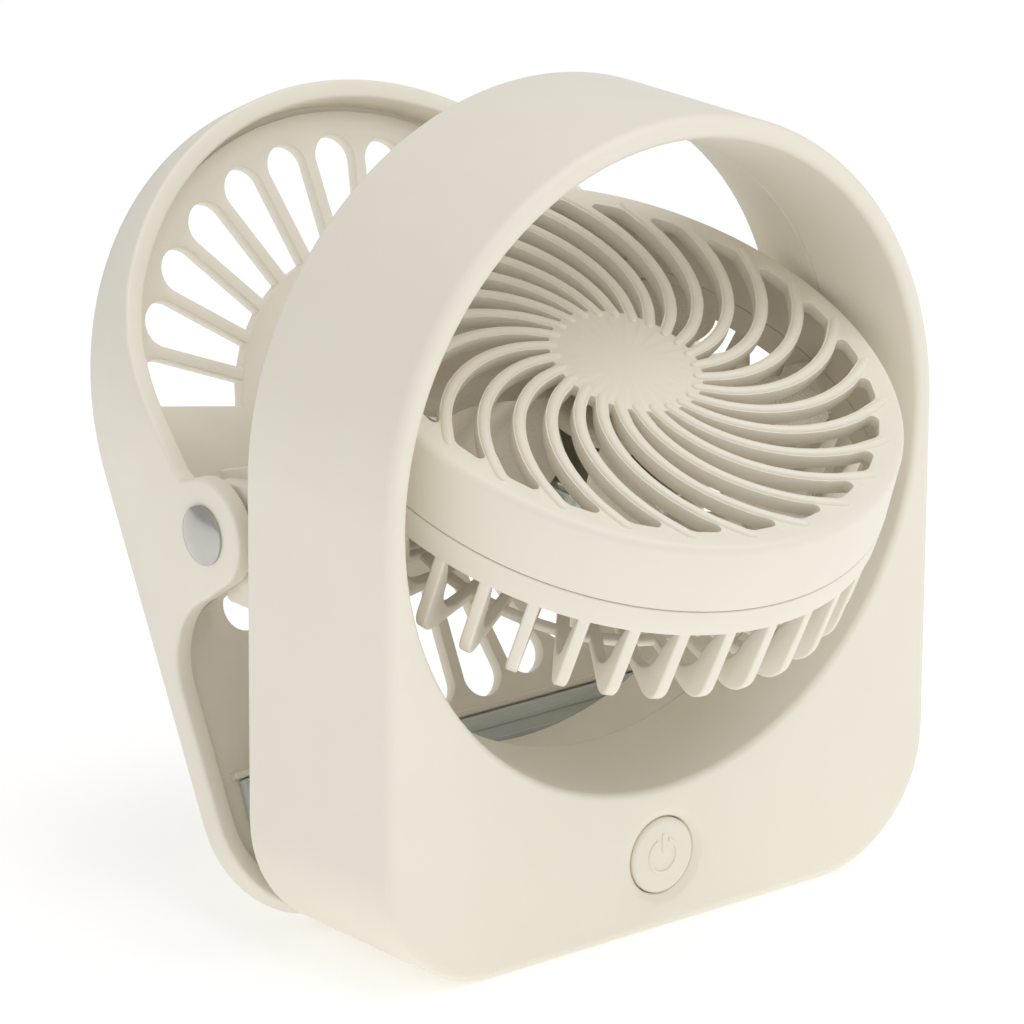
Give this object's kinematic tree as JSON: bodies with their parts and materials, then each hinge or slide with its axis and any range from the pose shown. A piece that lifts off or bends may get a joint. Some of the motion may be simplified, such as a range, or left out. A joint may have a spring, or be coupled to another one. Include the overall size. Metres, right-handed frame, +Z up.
{
  "type": "clip-on desk fan",
  "caption": "Small battery desk fan: ring housing on a base, fan head tilting inside the ring, and a sprung rear clamp with radial air slots.",
  "frame": {"origin": "middle of the housing's flat underside, halfway between its front and back faces", "axes": "+Z up, -Y towards the front, the side with the power button, +X to the right when facing the front"},
  "size_m": [0.1414, 0.1598, 0.1655],
  "materials": {
    "ivory_plastic": "fine satin moulded ABS, warm ivory",
    "blade_plastic": "smooth semi-gloss ivory",
    "steel": "plated",
    "nickel": "bright nickel plate",
    "chrome": "polished chrome",
    "spring_steel": "drawn wire",
    "silicone": "translucent grey silicone",
    "circuit_board": "green solder mask",
    "black_plastic": "satin black",
    "cell_wrap": "plain heat-shrink sleeve",
    "wire": "PVC insulation, red and black",
    "wire_white": "PVC insulation, ivory",
    "white_nylon": "nylon",
    "magnet": "ferrite",
    "bronze": "sintered bronze",
    "copper_winding": "enamelled copper on a steel core"
  },
  "bodies": {
    "stand": {"front_housing": "ivory_plastic", "rear_cover": "ivory_plastic", "housing_screws": "steel", "control_board": "circuit_board", "board_screws": "steel", "tact_switch": "black_plastic", "charge_port": "steel", "battery_cell": "cell_wrap", "battery_leads": "wire", "motor_leads": "wire", "pivot_washers": "white_nylon"},
    "head": {"head_grille": "ivory_plastic", "head_guard": "ivory_plastic", "head_screws": "steel", "pivot_pins": "ivory_plastic", "pivot_clips": "steel", "head_leads": "wire_white", "motor_can": "nickel", "motor_end_cap": "black_plastic", "motor_magnets": "magnet", "motor_bushes": "bronze", "motor_screws": "steel"},
    "rotor": {"fan_blades": "blade_plastic", "motor_shaft": "steel", "motor_armature": "copper_winding", "commutator": "bronze"},
    "clamp": {"clamp_shell": "ivory_plastic", "clamp_pad": "silicone", "hinge_pins": "steel", "hinge_caps": "chrome", "clamp_springs": "spring_steel"},
    "button": {"power_button": "ivory_plastic", "switch_plunger": "black_plastic"}
  },
  "joints": [
    {"name": "head_tilt", "type": "hinge", "parent": "stand", "child": "head", "pos_m": [0, 0, 0.0955], "axis": [-1, 0, 0], "range_deg": [-155.7, 24.3]},
    {"name": "blade_spin", "type": "hinge", "parent": "head", "child": "rotor", "pos_m": [0, 0, 0.0955], "axis": [0, -0.4115, 0.9114], "continuous": true},
    {"name": "clamp_open", "type": "hinge", "parent": "stand", "child": "clamp", "pos_m": [0, 0.0368, 0.0811], "axis": [1, 0, 0], "range_deg": [0, 25], "stiffness_Nm_per_rad": 0.8, "springref_deg": -34.38},
    {"name": "button_press", "type": "slide", "parent": "stand", "child": "button", "axis": [0, 1, 0], "range_m": [0, 0.0008], "stiffness_N_per_m": 2000, "springref_m": -0.0005}
  ]
}
